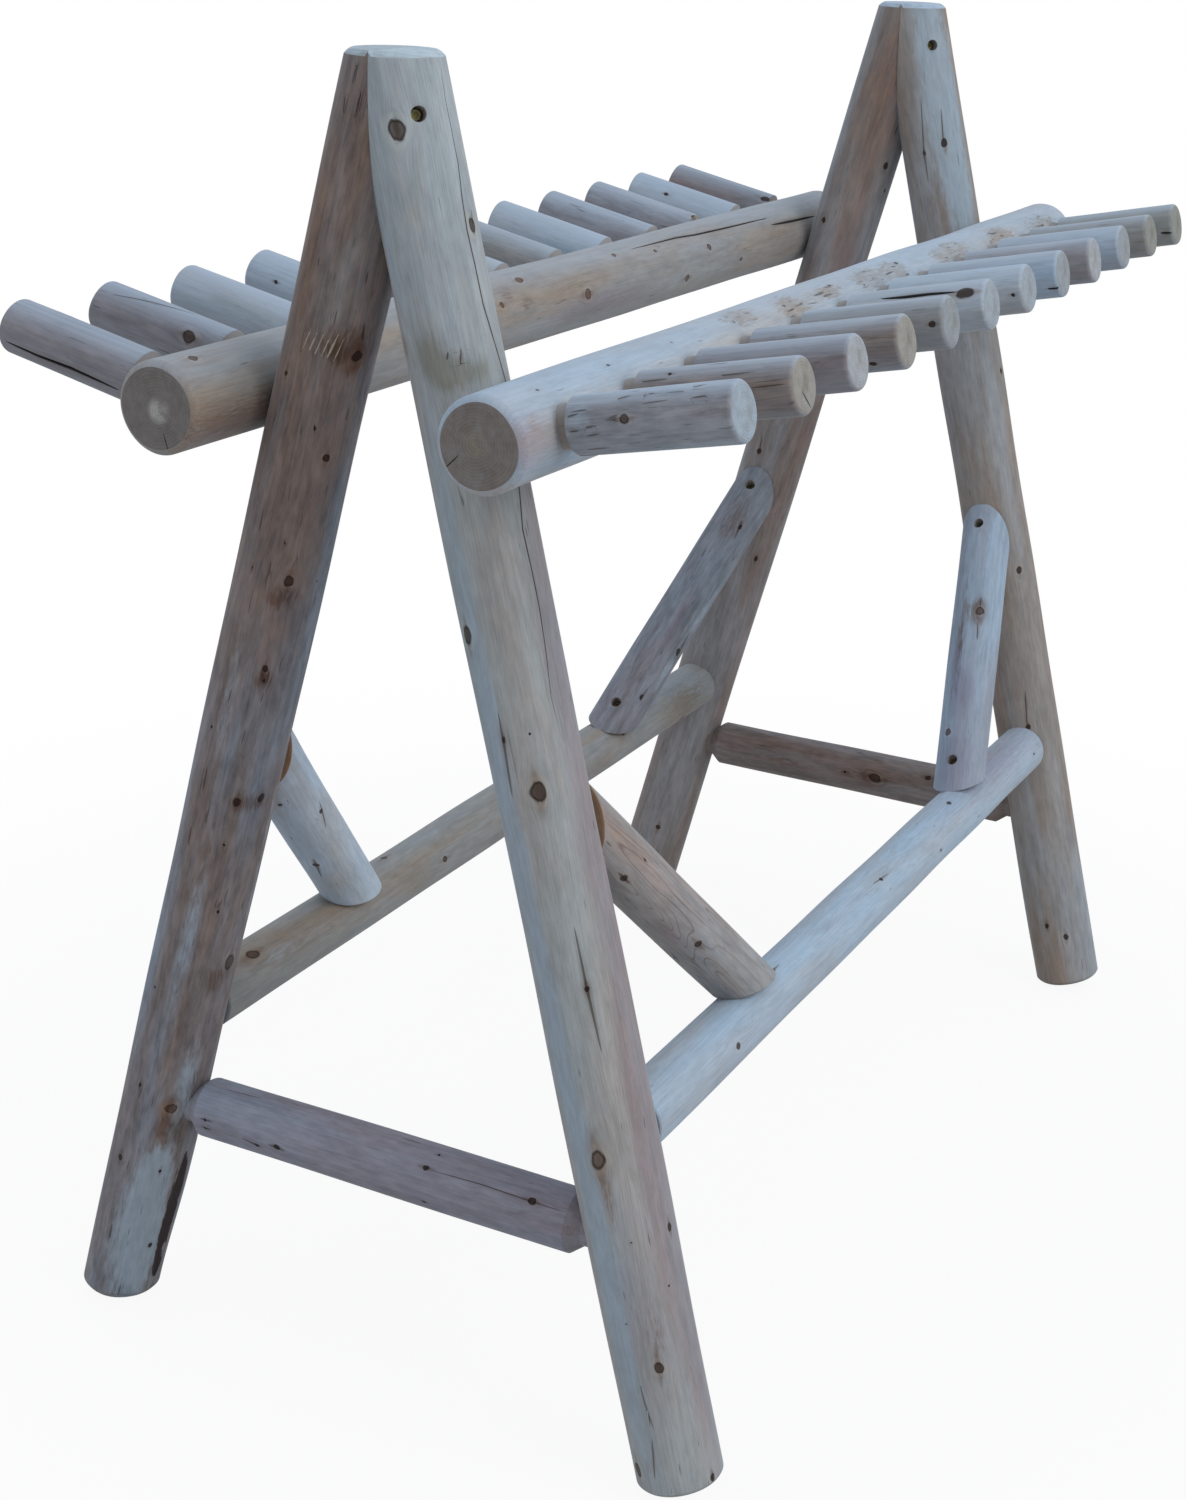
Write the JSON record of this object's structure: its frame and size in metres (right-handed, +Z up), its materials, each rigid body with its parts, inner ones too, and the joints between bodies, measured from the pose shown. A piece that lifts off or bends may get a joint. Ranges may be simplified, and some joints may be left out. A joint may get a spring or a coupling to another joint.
{
  "type": "freestanding ski rack",
  "caption": "Freestanding ski rack of peeled round logs: A-frame ends, long side rails with rows of upturned pegs that hold skis upright, low stretchers and diagonal braces.",
  "frame": {"origin": "on the floor, under the middle of the rack", "axes": "+X along the rails to the far end, +Y across to the left side, +Z up"},
  "size_m": [1.764, 0.8747, 1.542],
  "materials": {
    "leg_wood": "peeled, sanded smooth, unfinished",
    "rail_wood": "peeled, sanded smooth, unfinished",
    "peg_wood": "peeled, sanded smooth, unfinished",
    "rung_wood": "peeled, sanded smooth, unfinished",
    "stretcher_wood": "peeled, sanded smooth, unfinished",
    "brace_wood": "peeled, sanded smooth, unfinished",
    "screw_steel": "yellow zinc plated"
  },
  "bodies": {
    "root": {"near_rung": "rung_wood", "near_right_leg": "leg_wood", "near_right_brace": "brace_wood", "near_left_leg": "leg_wood", "near_left_brace": "brace_wood", "far_rung": "rung_wood", "far_right_leg": "leg_wood", "far_right_brace": "brace_wood", "far_left_leg": "leg_wood", "far_left_brace": "brace_wood", "right_rail": "rail_wood", "right_stretcher": "stretcher_wood", "right_peg_01": "peg_wood", "right_peg_02": "peg_wood", "right_peg_03": "peg_wood", "right_peg_04": "peg_wood", "right_peg_05": "peg_wood", "right_peg_06": "peg_wood", "right_peg_07": "peg_wood", "right_peg_08": "peg_wood", "right_peg_09": "peg_wood", "right_peg_10": "peg_wood", "right_peg_11": "peg_wood", "right_peg_12": "peg_wood", "left_rail": "rail_wood", "left_stretcher": "stretcher_wood", "left_peg_01": "peg_wood", "left_peg_02": "peg_wood", "left_peg_03": "peg_wood", "left_peg_04": "peg_wood", "left_peg_05": "peg_wood", "left_peg_06": "peg_wood", "left_peg_07": "peg_wood", "left_peg_08": "peg_wood", "left_peg_09": "peg_wood", "left_peg_10": "peg_wood", "left_peg_11": "peg_wood", "left_peg_12": "peg_wood", "apex_screws": "screw_steel", "brace_screws": "screw_steel", "stretcher_screws": "screw_steel", "rail_screws": "screw_steel"}
  },
  "joints": []
}
